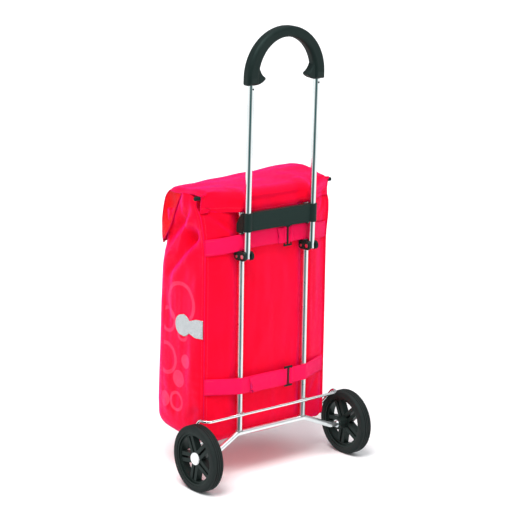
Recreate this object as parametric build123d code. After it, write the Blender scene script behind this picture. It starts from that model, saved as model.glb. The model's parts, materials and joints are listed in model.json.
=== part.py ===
from build123d import *
import os
from math import atan2, cos, degrees, radians, sin

# A two-wheeled shopping trolley: tube frame, fold-down push handle, fabric bag and flap lid.
# Millimetres. X runs across the trolley, -Y is its front, +Y the user's side, +Z is up.
# Every depth below is measured from the wheel axis; save() moves the pieces by AXLE_Y,
# so that the origin lies on the floor under the middle of the whole trolley.

AXLE_Y = 85.75
SIDES = {"left": 1, "right": -1}

# Wheels
WHEEL_R = 75.0
WHEEL_X = 215.4
TYRE_HALF_W = 14.3
TYRE_SHOULDER_R = 5.5
TREAD_GROOVE_W = 1.8
TREAD_GROOVE_DEPTH = 1.4
TREAD_GROOVE_PITCH = 5.2
RIM_R = 61.0
RIM_LIP_R = 56.0
RIM_WEB_R = 51.5
RIM_HALF_W = 12.6
RIM_WEB_HALF_W = 9.0
HUB_R = 14.5
HUB_IN = 27.4
HUB_OUT = 8.0
SPOKE_PAIRS = 5
SPOKE_ANGLE = 44.0
SPOKE_W = 8.5
SPOKE_OFFSET = 6.9
SPOKE_THICK = 15.6
HUB_CAP_R = 13.9
HUB_CAP_OUT = 12.2
AXLE_R = 4.0
RUNNING_GAP = 0.05
NUT_R = 7.2
NUT_THICK = 1.6
NUT_GAP = 0.2
NUT_POCKET = 3.0
WASHER_R = 9.0
WASHER_THICK = 1.6

# Axle tube: raised in the middle, stepping down to the hubs
AXLE_TUBE_R = 6.0
AXLE_TUBE_BORE = 4.0
AXLE_MID_Z = 105.0
AXLE_KNEE_X = 97.0
AXLE_FOOT_X = 170.0
AXLE_END_X = 186.2

# Frame legs
LEG_X = 91.8
LEG_Y = -12.7
LEG_R = 6.5
TUBE_WALL = 1.2
LEG_KNEE_Z = 612.0
LEG_KNEE_R = 50.0
ROD_Y = -50.0
ROD_Z = 645.0
ROD_R = 3.0
ROD_HALF = 192.0
ROD_CAP_R = 4.5
ROD_CAP_LENGTH = 15.0

# Base wire: rear bar behind the legs, rails under the bag, foot on the floor
WIRE_R = 3.25
WIRE_Y = LEG_Y + LEG_R + WIRE_R
WIRE_Z = 150.0
WIRE_X = 193.0
FOOT_Y = -240.0
FOOT_Z = 5.5
FOOT_PAD = (18.0, 12.5, 11.5)
FOOT_PAD_X = 69.0
RAIL_REAR = (135.0, -105.0)
RAIL_FRONT = (102.0, -197.0)
CROSS_WIRES_Y = (-118.0, -188.0)
CROSS_WIRE_PAST = 2.0

# Handle
PIVOT_Y = 6.3
PIVOT_Z = 515.0
PIVOT_R = 2.5
HANDLE_LEAN = 1.0
HANDLE_R = 7.25
HANDLE_END_R = 8.6
HANDLE_TOP_Z = 938.0
BRACKET_R = 10.0
BRACKET_W = 26.0
BRACKET_SLOT_W = 15.2
BRACKET_WEB_Y = -4.0
RIVET_R = 2.0
RIVET_HEAD = 1.2

# Grip: a round arch with blunt ends and inward hooks
GRIP_Z = 907.0
GRIP_R = 107.3
GRIP_HOLE_X = 77.0
GRIP_HOLE_Z = 83.0
GRIP_END_Z = 892.0
GRIP_THICK = 26.0
GRIP_ROUND = 8.5
GRIP_END_ROUND = 2.0
GRIP_RIVET_Z = 884.0

# Lock bridge: joins the handle tubes and grips the legs
BRIDGE_LOW = 570.4
BRIDGE_TOP = 611.7
SLEEVE_R = 10.0
BRIDGE_WEB_Y = (7.0, 10.0)
BRIDGE_FLANGE = 3.0
PRONG_GAP = 0.3
PRONG_THICK = 3.2

# Bag, seen from above: back panel between two seams, bowed sides, rounded front corners
SEAM_X = 171.0
SEAM_Y = -40.0
BACK_Y = -22.0
SIDE_BOW_X = 182.5
SIDE_BOW_Y = -115.0
FRONT_CORNER_X = 175.0
FRONT_CORNER_Y = -228.0
FRONT_Y = -238.0
CORNER_R = 45.0
MIN_CORNER_R = 12.0
FABRIC = 2.0
BAG_FLOOR_Z = 88.0
BAG_SIDE_Z = 110.0
BAG_RIM_Z = 600.0
BASE_INSET = 18.0
FRONT_PANEL_Y = -185.0
BOARD_THICK = 3.0
HOOD_TOP_Z = 624.0
HOOD_INSET = 66.0

# Lid and the yoke that carries it over the rod
LID_GAP = 2.0
LID_HINGE_Y = -53.0
LID_CREST_Y = -130.0
LID_CREST_Z = 661.0
LID_FRONT_Z = 606.0
LID_HEM_Z = 519.0
LID_BREAK_Z = 628.0
YOKE_HEM_Z = 602.0

# Webbing straps, buckles and reflective tabs
STRAP_W = 36.0
STRAP_THICK = 1.8
STRAP_Z = {"upper": 543.6, "lower": 216.5}
BUCKLE_X = {"upper": -31.0, "lower": -40.0}
BUCKLE = (22.0, 2.4, 47.0)
BUCKLE_BAR = 3.0
BUCKLE_EDGE = 2.0
TAB_Z = 350.0
TAB_THICK = 1.2


def save(name, *pieces):
    """Write one node, moved from wheel-axis depths to the trolley's own origin."""
    placed = [Pos(0, AXLE_Y, 0) * piece for piece in pieces]
    shape = placed[0] if len(placed) == 1 else Compound(children=placed)
    export_step(shape, f"parts/{name}.step")


def cylinder_x(radius, x_from, x_to, y, z):
    """A cylinder along X between two X values."""
    length = abs(x_to - x_from)
    middle = (x_from + x_to) / 2
    return Pos(middle, y, z) * Rot(0, 90, 0) * Cylinder(radius, length)


def box_between(low, high):
    """A box given by its lowest and highest corners."""
    size = [b - a for a, b in zip(low, high)]
    centre = [(a + b) / 2 for a, b in zip(low, high)]
    return Pos(*centre) * Box(*size)


def bent_rod(points, radii, radius):
    """A round rod along straight runs joined by tangent arcs."""
    path = FilletPolyline(*points, radius=radii)
    section = Plane(path @ 0, z_dir=path % 0) * Circle(radius)
    return sweep(section, path=path)


def side_plate(outline, x_from, x_to):
    """A plate from a Y-Z outline, extruded between two X values."""
    face = make_face(Polyline(*[(0, y, z) for y, z in outline], close=True))
    plate = extrude(face, amount=abs(x_to - x_from), dir=(1, 0, 0))
    return Pos(min(x_from, x_to), 0, 0) * plate


def mirrored(shape, side):
    """The left-hand shape, or its mirror image for the right-hand side."""
    return shape if side > 0 else mirror(shape, about=Plane.YZ)


def lean(shape):
    """Tilt a handle piece back a little about the fold axis."""
    to_pivot = Pos(0, PIVOT_Y, PIVOT_Z)
    return to_pivot * Rot(-HANDLE_LEAN, 0, 0) * to_pivot.inverse() * shape


# ---------------------------------------------------------------- wheels

def tyre():
    """Rubber tyre with round shoulders and grooves round the tread."""
    depth = WHEEL_R - RIM_R
    section = Pos(0, RIM_R + depth / 2) * Rectangle(2 * TYRE_HALF_W, depth)
    shoulders = section.vertices().group_by(Axis.Y)[-1]
    section = fillet(shoulders, TYRE_SHOULDER_R)
    for place in (-1, 0, 1):
        groove = Rectangle(TREAD_GROOVE_W, 2 * TREAD_GROOVE_DEPTH)
        section -= Pos(place * TREAD_GROOVE_PITCH, WHEEL_R) * groove
    return revolve(section, Axis.X)


def rim():
    """Plastic rim: stepped ring, hub and pairs of spokes; its outer face looks along +X."""
    lip = Rot(0, 90, 0) * (Cylinder(RIM_R, 2 * RIM_HALF_W) - Cylinder(RIM_LIP_R, 2 * RIM_HALF_W))
    web = Rot(0, 90, 0) * (Cylinder(RIM_LIP_R, 2 * RIM_WEB_HALF_W)
                           - Cylinder(RIM_WEB_R, 2 * RIM_WEB_HALF_W))
    hub = cylinder_x(HUB_R, -HUB_IN, HUB_OUT, 0, 0)
    body = lip + web + hub
    reach = RIM_WEB_R + 1
    for pair in range(SPOKE_PAIRS):
        turn = Rot(SPOKE_ANGLE + pair * 360 / SPOKE_PAIRS, 0, 0)
        for side in (-1, 1):
            spoke = Pos(0, reach / 2, side * SPOKE_OFFSET) * Box(SPOKE_THICK, reach, SPOKE_W)
            body += turn * spoke
    bore = cylinder_x(AXLE_R + RUNNING_GAP, -HUB_IN, HUB_OUT, 0, 0)
    pocket = cylinder_x(NUT_R + 1, HUB_OUT - NUT_POCKET, HUB_OUT, 0, 0)
    return body - bore - pocket


def hub_cap():
    """Round cover on the hub's outer face."""
    cap = cylinder_x(HUB_CAP_R, HUB_OUT, HUB_CAP_OUT, 0, 0)
    return fillet(cap.edges().group_by(Axis.X)[-1], 2.0)


def wheel_parts():
    for name, side in SIDES.items():
        place = Pos(side * WHEEL_X, 0, WHEEL_R)
        for node, piece in (("tyre", tyre()), ("rim", rim()), ("hub_cap", hub_cap())):
            save(f"{node}_{name}", place * mirrored(piece, side))


# ---------------------------------------------------------------- axle and frame

def axle_tube_solid(radius):
    """The axle tube's path, filled to a radius."""
    half = [(AXLE_KNEE_X, LEG_Y, AXLE_MID_Z), (AXLE_FOOT_X, 0, WHEEL_R), (AXLE_END_X, 0, WHEEL_R)]
    points = [(-x, y, z) for x, y, z in reversed(half)] + half
    return bent_rod(points, [18, 30, 30, 18], radius)


def leg_path(side):
    x = side * LEG_X
    run = Vector(0, ROD_Y - LEG_Y, ROD_Z - LEG_KNEE_Z).normalized()
    end = Vector(x, ROD_Y, ROD_Z) + run * (LEG_R - 1)
    return [(x, LEG_Y, AXLE_MID_Z + 2), (x, LEG_Y, LEG_KNEE_Z), tuple(end)]


def leg_solid(side, radius):
    return bent_rod(leg_path(side), [LEG_KNEE_R], radius)


def pivot_rivet(side):
    """Rivet that the handle turns on, with a head outside each bracket cheek."""
    inner = LEG_X - BRACKET_W / 2
    outer = LEG_X + BRACKET_W / 2
    rivet = cylinder_x(PIVOT_R, inner, outer, PIVOT_Y, PIVOT_Z)
    rivet += cylinder_x(PIVOT_R + 2, inner - RIVET_HEAD, inner, PIVOT_Y, PIVOT_Z)
    rivet += cylinder_x(PIVOT_R + 2, outer, outer + RIVET_HEAD, PIVOT_Y, PIVOT_Z)
    return mirrored(rivet, side)


def bracket_rivet(side):
    """Rivet that fixes a hinge bracket to its leg."""
    inner = LEG_X - BRACKET_W / 2
    outer = LEG_X + BRACKET_W / 2
    rivet = cylinder_x(RIVET_R, inner, outer, LEG_Y, PIVOT_Z - 2)
    rivet += cylinder_x(RIVET_R + 1.2, outer, outer + RIVET_HEAD, LEG_Y, PIVOT_Z - 2)
    rivet += cylinder_x(RIVET_R + 1.2, inner - RIVET_HEAD, inner, LEG_Y, PIVOT_Z - 2)
    return mirrored(rivet, side)


def hinge_bracket(side):
    """Plastic block round the leg, with two round cheeks that hold the handle's end."""
    span = PIVOT_Y - LEG_Y
    profile = Plane.YZ * SlotCenterToCenter(span, 2 * BRACKET_R)
    block = extrude(profile, amount=BRACKET_W / 2, both=True)
    block = Pos(LEG_X, (PIVOT_Y + LEG_Y) / 2, PIVOT_Z) * block
    slot_low = (LEG_X - BRACKET_SLOT_W / 2, BRACKET_WEB_Y, PIVOT_Z - 2 * BRACKET_R)
    slot_high = (LEG_X + BRACKET_SLOT_W / 2, PIVOT_Y + 2 * BRACKET_R, PIVOT_Z + 2 * BRACKET_R)
    block -= box_between(slot_low, slot_high)
    block -= Pos(LEG_X, LEG_Y, PIVOT_Z) * Cylinder(LEG_R, 4 * BRACKET_R)
    return mirrored(block, side) - pivot_rivet(side) - bracket_rivet(side)


def frame_parts():
    axle = axle_tube_solid(AXLE_TUBE_R)
    rod = cylinder_x(ROD_R, -ROD_HALF, ROD_HALF, ROD_Y, ROD_Z)
    save("axle_tube", axle - axle_tube_solid(AXLE_TUBE_BORE))
    save("hanger_rod", rod)
    for name, side in SIDES.items():
        leg = leg_solid(side, LEG_R) - leg_solid(side, LEG_R - TUBE_WALL)
        save(f"frame_leg_{name}", leg - axle - rod - bracket_rivet(side))
        save(f"hinge_bracket_{name}", hinge_bracket(side))
        save(f"pivot_rivet_{name}", pivot_rivet(side))
        save(f"bracket_rivet_{name}", bracket_rivet(side))
        cap_end = ROD_HALF + 2
        cap = cylinder_x(ROD_CAP_R, cap_end - ROD_CAP_LENGTH, cap_end, ROD_Y, ROD_Z)
        cap = fillet(cap.edges().group_by(Axis.X)[-1], 1.5)
        save(f"rod_cap_{name}", mirrored(cap, side) - rod)
        stub_in = AXLE_FOOT_X + 8
        stub = cylinder_x(AXLE_R, stub_in, WHEEL_X + HUB_OUT - 0.5, 0, WHEEL_R)
        save(f"stub_axle_{name}", mirrored(stub, side))
        washer_x = WHEEL_X - HUB_IN - NUT_GAP
        washer = cylinder_x(WASHER_R, washer_x - WASHER_THICK, washer_x, 0, WHEEL_R)
        save(f"axle_washer_{name}", mirrored(washer - stub, side))
        nut_x = WHEEL_X + HUB_OUT - NUT_POCKET + NUT_GAP
        nut = cylinder_x(NUT_R, nut_x, nut_x + NUT_THICK, 0, WHEEL_R)
        save(f"push_nut_{name}", mirrored(nut - stub, side))


# ---------------------------------------------------------------- base wire and foot

def base_wire():
    """One bent wire: rear bar, side bends, rails under the bag and the foot in front."""
    rail_z = BAG_FLOOR_Z - WIRE_R
    half = [
        (0, WIRE_Y, WIRE_Z),
        (WIRE_X, WIRE_Y, WIRE_Z),
        (WIRE_X, -25, WIRE_Z + 1),
        (WIRE_X - 1, -82, rail_z),
        (*RAIL_REAR, rail_z),
        (*RAIL_FRONT, rail_z),
        (90, FOOT_Y, FOOT_Z),
        (0, FOOT_Y, FOOT_Z),
    ]
    rod = bent_rod(half, [18, 14, 12, 25, 20, 12], WIRE_R)
    return rod + mirror(rod, about=Plane.YZ)


def base_parts():
    wire = base_wire()
    save("base_wire", wire)
    crosses = []
    splay = (RAIL_REAR[0] - RAIL_FRONT[0]) / (RAIL_REAR[1] - RAIL_FRONT[1])
    for y in CROSS_WIRES_Y:
        reach = RAIL_REAR[0] + (y - RAIL_REAR[1]) * splay + CROSS_WIRE_PAST
        crosses.append(cylinder_x(WIRE_R, -reach, reach, y, BAG_FLOOR_Z - 3 * WIRE_R))
    save("cross_wires", *crosses)
    for name, side in SIDES.items():
        pad = Pos(side * FOOT_PAD_X, FOOT_Y, FOOT_PAD[2] / 2) * Box(*FOOT_PAD)
        pad = fillet(pad.edges().group_by(Axis.Z)[-1], 2.5)
        save(f"foot_pad_{name}", pad - wire)


# ---------------------------------------------------------------- handle

def handle_tube(side):
    """Straight handle tube with a rounded lower end and its cross holes."""
    low = PIVOT_Z - HANDLE_END_R
    height = HANDLE_TOP_Z - low
    tube = Cylinder(HANDLE_R, height) - Cylinder(HANDLE_R - TUBE_WALL, height)
    tube = Pos(LEG_X, PIVOT_Y, low + height / 2) * tube
    inner = LEG_X - 2 * HANDLE_R
    outer = LEG_X + 2 * HANDLE_R
    corner = box_between((inner, PIVOT_Y - 20, low), (outer, PIVOT_Y + 20, PIVOT_Z))
    corner -= cylinder_x(HANDLE_END_R, inner, outer, PIVOT_Y, PIVOT_Z)
    tube -= corner
    tube -= cylinder_x(PIVOT_R + RUNNING_GAP, inner, outer, PIVOT_Y, PIVOT_Z)
    return mirrored(tube - grip_rivet(1), side)


def grip_rivet(side):
    """Small rivet across each tube, just under the grip."""
    rivet = Pos(LEG_X, PIVOT_Y, GRIP_RIVET_Z) * Rot(90, 0, 0) * Cylinder(RIVET_R, 2 * HANDLE_R + 2)
    return mirrored(rivet, side)


def handle_bore(side):
    """The space that a handle tube fills, for cutting the grip and the bridge."""
    height = HANDLE_TOP_Z - PIVOT_Z
    return Pos(side * LEG_X, PIVOT_Y, PIVOT_Z + height / 2) * Cylinder(HANDLE_R, height)


def grip():
    """Arched hand grip: a ring section with blunt ends and an inward hook at each end."""
    ring = Circle(GRIP_R) - Ellipse(GRIP_HOLE_X, GRIP_HOLE_Z)
    ring &= Pos(0, GRIP_R) * Rectangle(3 * GRIP_R, 2 * GRIP_R)
    end_w = GRIP_R - GRIP_HOLE_X
    end_h = GRIP_Z - GRIP_END_Z
    for side in (-1, 1):
        ring += Pos(side * (GRIP_HOLE_X + end_w / 2), -end_h / 2) * Rectangle(end_w, end_h)
    arch = extrude(ring, amount=GRIP_THICK / 2, both=True)
    rounded = arch.edges().filter_by(lambda e: abs(abs(e.center().Z) - GRIP_THICK / 2) < 0.01)
    arch = fillet(rounded, GRIP_ROUND)
    ends = arch.faces().sort_by(Axis.Y)[0:2]
    arch = fillet(ends.edges(), GRIP_END_ROUND)
    outline = Spline((78, 30), (72.5, 14), (66.5, 5.5), (60.5, 1))
    outline += ThreePointArc((60.5, 1), (58.8, -2.6), (61.5, -6.2))
    outline += Spline((61.5, -6.2), (70, -11.5), (84, -14.8))
    outline += Polyline((84, -14.8), (92, -14.8), (92, 30), (78, 30))
    hook = extrude(make_face(outline), amount=GRIP_THICK / 2 - 3, both=True)
    rims = hook.edges().filter_by(lambda e: abs(e.center().Z) > GRIP_THICK / 2 - 3.1)
    hook = chamfer(rims, 1.8)
    arch += hook
    arch += mirror(hook, about=Plane.YZ)
    arch = Pos(0, PIVOT_Y, GRIP_Z) * Rot(90, 0, 0) * arch
    return arch - handle_bore(1) - handle_bore(-1)


def lock_bridge():
    """Bridge between the handle tubes, with prongs that straddle the legs."""
    height = BRIDGE_TOP - BRIDGE_LOW
    middle = (BRIDGE_TOP + BRIDGE_LOW) / 2
    body = box_between((-LEG_X, BRIDGE_WEB_Y[0], BRIDGE_LOW), (LEG_X, BRIDGE_WEB_Y[1], BRIDGE_TOP))
    for low in (BRIDGE_LOW, BRIDGE_TOP - BRIDGE_FLANGE):
        body += box_between((-LEG_X, -0.5, low), (LEG_X, BRIDGE_WEB_Y[1], low + BRIDGE_FLANGE))
    prong = [(2, BRIDGE_TOP), (-7, BRIDGE_TOP - 4), (-20.5, 584), (-20.5, 568), (-17, 565.5), (2, 565.5)]
    near = LEG_R + PRONG_GAP
    far = near + PRONG_THICK
    for side in (-1, 1):
        body += Pos(side * LEG_X, PIVOT_Y, middle) * Cylinder(SLEEVE_R, height)
        for inward in (-1, 1):
            start = side * LEG_X + inward * near
            body += side_plate(prong, start, side * LEG_X + inward * far)
    return body - handle_bore(1) - handle_bore(-1)


def handle_parts():
    save("grip", lean(grip()))
    save("lock_bridge", lean(lock_bridge()))
    for name, side in SIDES.items():
        save(f"handle_tube_{name}", lean(handle_tube(side)))
        save(f"grip_rivet_{name}", lean(grip_rivet(side)))


# ---------------------------------------------------------------- bag

def bag_plan(grow=0.0):
    """The bag's outline from above, grown or shrunk by an even amount."""
    seam = (SEAM_X + grow, SEAM_Y + grow)
    corner = (FRONT_CORNER_X + grow, FRONT_CORNER_Y - grow)
    bow = (SIDE_BOW_X + grow, SIDE_BOW_Y)
    back = ThreePointArc((-seam[0], seam[1]), (0, BACK_Y + grow), seam)
    left = ThreePointArc(seam, bow, corner)
    front = ThreePointArc(corner, (0, FRONT_Y - grow), (-corner[0], corner[1]))
    right = ThreePointArc((-corner[0], corner[1]), (-bow[0], bow[1]), (-seam[0], seam[1]))
    plan = make_face([back, left, front, right])
    radius = max(CORNER_R + grow, MIN_CORNER_R)
    return fillet(plan.vertices().group_by(Axis.Y)[0], radius)


def prism(grow, low, high):
    """The bag's outline extruded between two heights."""
    return Pos(0, 0, low) * extrude(bag_plan(grow), amount=high - low)


def taper(grow_low, low, grow_high, high):
    """A tapering block between two sizes of the bag's outline."""
    sections = [Pos(0, 0, low) * bag_plan(grow_low), Pos(0, 0, high) * bag_plan(grow_high)]
    return loft(sections, ruled=True)


def zone(y_low, y_high, z_low, z_high, x_low=-300, x_high=300):
    """A large box used to split the bag and the lid along their seams."""
    return box_between((x_low, y_low, z_low), (x_high, y_high, z_high))


def bag_parts():
    walls = prism(0, BAG_SIDE_Z, BAG_RIM_Z) - prism(-FABRIC, BAG_SIDE_Z, BAG_RIM_Z)
    seam = SEAM_Y - FABRIC
    save("bag_back_panel", walls & zone(seam, 0, 0, 700))
    save("bag_front_panel", walls & zone(-300, FRONT_PANEL_Y, 0, 700))
    save("bag_side_left", walls & zone(FRONT_PANEL_Y, seam, 0, 700, x_low=0))
    save("bag_side_right", walls & zone(FRONT_PANEL_Y, seam, 0, 700, x_high=0))
    pan = taper(-BASE_INSET, BAG_FLOOR_Z, 0, BAG_SIDE_Z)
    hollow = taper(-BASE_INSET - FABRIC, BAG_FLOOR_Z + FABRIC, -FABRIC, BAG_SIDE_Z)
    save("bag_base_panel", pan - hollow)
    board_low = BAG_FLOOR_Z + FABRIC
    save("base_board", prism(-BASE_INSET - 4, board_low, board_low + BOARD_THICK))
    hood = taper(0, BAG_RIM_Z, -HOOD_INSET, HOOD_TOP_Z)
    hood -= taper(-2 * FABRIC, BAG_RIM_Z, -HOOD_INSET - 2 * FABRIC, HOOD_TOP_Z)
    save("bag_hood", hood)


def lid_solid(grow, drop):
    """The lid's outer shape, filled: side profile cut to the bag's outline."""
    crest = LID_CREST_Z - drop
    front = FRONT_Y - LID_GAP - FABRIC + drop
    lines = [
        Line((0, LID_HINGE_Y, LID_HEM_Z), (0, LID_HINGE_Y, crest - 3)),
        Line((0, LID_HINGE_Y, crest - 3), (0, LID_CREST_Y, crest)),
        ThreePointArc((0, LID_CREST_Y, crest), (0, -196, crest - 8), (0, front, LID_FRONT_Z)),
        Line((0, front, LID_FRONT_Z), (0, front, LID_HEM_Z)),
        Line((0, front, LID_HEM_Z), (0, LID_HINGE_Y, LID_HEM_Z)),
    ]
    profile = extrude(make_face(lines), amount=SEAM_X + 30, dir=(1, 0, 0), both=True)
    return profile & prism(grow, LID_HEM_Z, LID_CREST_Z + 5)


def lid_parts():
    outer = lid_solid(LID_GAP + FABRIC, 0)
    inner = lid_solid(LID_GAP, FABRIC) + zone(LID_HINGE_Y - 1, 0, 0, LID_CREST_Z - 3 - FABRIC)
    shell = outer - inner
    side_gap = zone(-125, 0, 0, LID_CREST_Z - 9)
    save("lid_top", (shell & zone(-300, LID_HINGE_Y, LID_BREAK_Z, 700)) - side_gap)
    save("lid_front_flap", shell & zone(-300, FRONT_PANEL_Y, 0, LID_BREAK_Z))
    crescent = [(-98, LID_BREAK_Z), (FRONT_PANEL_Y, LID_BREAK_Z), (FRONT_PANEL_Y, LID_HEM_Z),
                (FRONT_PANEL_Y + 4, LID_HEM_Z), (-162, 590), (-132, 614)]
    for name, side in SIDES.items():
        gusset = shell & side_plate(crescent, side * 100, side * 200)
        save(f"lid_gusset_{name}", gusset)
    yoke_line = [(-19.5, YOKE_HEM_Z), (-12, 622), (-13.5, 638), (-24, 650), (-48, 658)]
    inner_line = [(y - 1.6, z - 1.2) for y, z in reversed(yoke_line)]
    yoke = side_plate(yoke_line + inner_line, -SEAM_X, SEAM_X)
    for side in (-1, 1):
        yoke -= leg_solid(side, LEG_R + 0.3)
    save("lid_yoke", yoke)


# ---------------------------------------------------------------- webbing and trim

def strap(z):
    """Webbing across the back: seam to seam, behind both legs."""
    lift = LEG_R + 0.2 + STRAP_THICK / 2
    behind = LEG_Y + lift
    seam = (SEAM_X + 2, SEAM_Y - 1.5)
    slope = atan2(behind - seam[1], seam[0] - LEG_X)
    corner_x = LEG_X + lift * sin(slope / 2) / cos(slope / 2)
    points = [(seam[0], seam[1], z), (corner_x, behind, z)]
    points += [(-x, y, z) for x, y, z in reversed(points)]
    path = FilletPolyline(*points, radius=lift)
    section = Plane(path @ 0, x_dir=(0, 0, 1), z_dir=path % 0) * Rectangle(STRAP_W, STRAP_THICK)
    return sweep(section, path=path) - prism(0, z - STRAP_W, z + STRAP_W)


def buckle(x, z):
    """Ladder buckle: a flat frame with one bar across its middle."""
    width, thick, height = BUCKLE
    frame = Box(width, thick, height)
    window_w = (width - BUCKLE_BAR - 2 * BUCKLE_EDGE) / 2
    for side in (-1, 1):
        shift = side * (BUCKLE_BAR + window_w) / 2
        frame -= Pos(shift, 0, 0) * Box(window_w, thick, height - 4 * BUCKLE_EDGE)
    face_y = LEG_Y + LEG_R + 0.2 + STRAP_THICK
    return Pos(x, face_y + thick / 2, z) * frame


def reflective_tab(side):
    """Reflective tab on a side panel: round end, narrow neck, wider root at the seam."""
    head = Pos(-103, TAB_Z) * Circle(24)
    neck = Pos(-70, TAB_Z) * Rectangle(58, 18)
    root = Pos(-51, TAB_Z) * Rectangle(20, 34)
    shape = fillet((head + neck + root).vertices(), 3)
    cutter = extrude(Plane.YZ * shape, amount=SEAM_X + 40)
    skin = prism(TAB_THICK, TAB_Z - 40, TAB_Z + 40) - prism(0, TAB_Z - 40, TAB_Z + 40)
    return skin & mirrored(cutter, side)


def trim_parts():
    for name, z in STRAP_Z.items():
        save(f"{name}_strap", strap(z))
        save(f"{name}_buckle", buckle(BUCKLE_X[name], z))
    for name, side in SIDES.items():
        save(f"reflective_tab_{name}", reflective_tab(side))


os.makedirs("parts", exist_ok=True)
wheel_parts()
frame_parts()
base_parts()
handle_parts()
bag_parts()
lid_parts()
trim_parts()
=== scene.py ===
import json
import math

import bpy
import numpy as np
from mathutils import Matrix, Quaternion, Vector, noise


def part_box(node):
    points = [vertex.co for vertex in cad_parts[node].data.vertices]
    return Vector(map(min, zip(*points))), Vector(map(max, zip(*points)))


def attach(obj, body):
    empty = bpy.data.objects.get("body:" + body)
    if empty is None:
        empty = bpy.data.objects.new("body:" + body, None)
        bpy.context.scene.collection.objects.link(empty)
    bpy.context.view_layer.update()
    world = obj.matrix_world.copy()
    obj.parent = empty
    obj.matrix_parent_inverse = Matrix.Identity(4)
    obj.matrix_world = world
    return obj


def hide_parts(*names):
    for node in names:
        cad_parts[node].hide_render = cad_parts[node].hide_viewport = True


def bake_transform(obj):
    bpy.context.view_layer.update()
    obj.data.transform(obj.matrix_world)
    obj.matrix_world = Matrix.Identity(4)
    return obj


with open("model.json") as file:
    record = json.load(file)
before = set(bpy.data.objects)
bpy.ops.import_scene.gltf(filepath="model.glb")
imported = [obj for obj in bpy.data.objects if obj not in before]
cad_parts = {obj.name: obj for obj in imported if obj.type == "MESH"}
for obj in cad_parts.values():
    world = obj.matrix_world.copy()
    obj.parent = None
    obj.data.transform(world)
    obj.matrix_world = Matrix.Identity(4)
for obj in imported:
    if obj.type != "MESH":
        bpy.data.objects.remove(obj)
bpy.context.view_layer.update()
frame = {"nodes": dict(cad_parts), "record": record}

# A two-wheeled shopping trolley. The frame, wheels, handle and grip are the CAD pieces with
# finished materials. The fabric bag, its lid, the webbing and the trim are built here.
# Lengths in this file are millimetres. Depths run from the wheel axis, -Y towards the bag's
# front; row() turns such points into metres in the object's frame.

MM = 0.001
SIDES = {"left": 1, "right": -1}
AXLE_Y = (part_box("tyre_left")[0].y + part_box("tyre_left")[1].y) / 2


def row(points):
    """Points in millimetres from the wheel axis, as metres in the object's frame."""
    return np.asarray(points, float) * MM + np.array([0, AXLE_Y, 0])


def corner(node_name, top):
    """The lowest (0) or highest (1) corner of a CAD node, in this file's millimetres."""
    return (np.array(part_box(node_name)[top]) - np.array([0, AXLE_Y, 0])) / MM


# ---------------------------------------------------------------- sizes taken from the frame

LEG_X = (corner("frame_leg_left", 0)[0] + corner("frame_leg_left", 1)[0]) / 2
LEG_R = (corner("frame_leg_left", 1)[0] - corner("frame_leg_left", 0)[0]) / 2
LEG_Y = corner("frame_leg_left", 1)[1] - LEG_R
SEAM_X = corner("bag_back_panel", 1)[0]
SEAM_Y = corner("bag_back_panel", 0)[1] + 2
BACK_Y = corner("bag_back_panel", 1)[1]
SIDE_BOW_X = corner("bag_side_left", 1)[0]
FRONT_Y = corner("bag_front_panel", 0)[1]
FLOOR_Z = corner("bag_base_panel", 0)[2]
RIM_Z = corner("bag_hood", 0)[2]
MOUTH_Z = corner("bag_hood", 1)[2]
CREST_Z = corner("lid_top", 1)[2]
LID_HEM_Z = corner("lid_front_flap", 0)[2]
LID_FRONT_Y = corner("lid_front_flap", 0)[1]
STRAP_Z = {n: (corner(f"{n}_strap", 0)[2] + corner(f"{n}_strap", 1)[2]) / 2 for n in ("upper", "lower")}
STRAP_W = corner("upper_strap", 1)[2] - corner("upper_strap", 0)[2]
BUCKLE_X = {n: (corner(f"{n}_buckle", 0)[0] + corner(f"{n}_buckle", 1)[0]) / 2 for n in STRAP_Z}
TAB_Z = (corner("reflective_tab_left", 0)[2] + corner("reflective_tab_left", 1)[2]) / 2
TAB_R = (corner("reflective_tab_left", 1)[2] - corner("reflective_tab_left", 0)[2]) / 2

# Bag outline from above, between the CAD corners
SIDE_BOW_Y = -115.0
CORNER_X = 175.0
CORNER_Y = -228.0
CORNER_R = 45.0
FRONT_BOW = CORNER_Y - FRONT_Y
BACK_COLUMNS = 92
SIDE_COLUMNS = 50
CORNER_COLUMNS = 16
FRONT_COLUMNS = 66

# Bag outline from the side
SIDE_TOP_Z = 649.0
BACK_TOP_Z = 622.0
HOOD_INSET = 64.0
BOTTOM_ROWS = 9
WALL_ROWS = 124
HOOD_ROWS = 14
FABRIC = 1.3

# Lid
LID_GROW = 4.0
HINGE_Y = -53.0
CREST_Y = -130.0
GUSSET_REAR_Y = -111.0
HEM_RISE = 4.0


# ---------------------------------------------------------------- small maths

def ease(low, high, value):
    """0 below low, 1 above high, smooth between."""
    t = np.clip((np.asarray(value, float) - low) / (high - low), 0, 1)
    return t * t * (3 - 2 * t)


def bell(value, centre, width):
    """A smooth bump of height 1."""
    return np.exp(-(((np.asarray(value, float) - centre) / width) ** 2))


def soft_noise(a, b, seed):
    """Smooth noise between about -1 and 1 over a field of two coordinates."""
    a, b = np.broadcast_arrays(np.asarray(a, float), np.asarray(b, float))
    flat = [noise.noise(Vector((p, q, seed))) for p, q in zip(a.ravel(), b.ravel())]
    return 1.6 * np.array(flat).reshape(a.shape)


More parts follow.
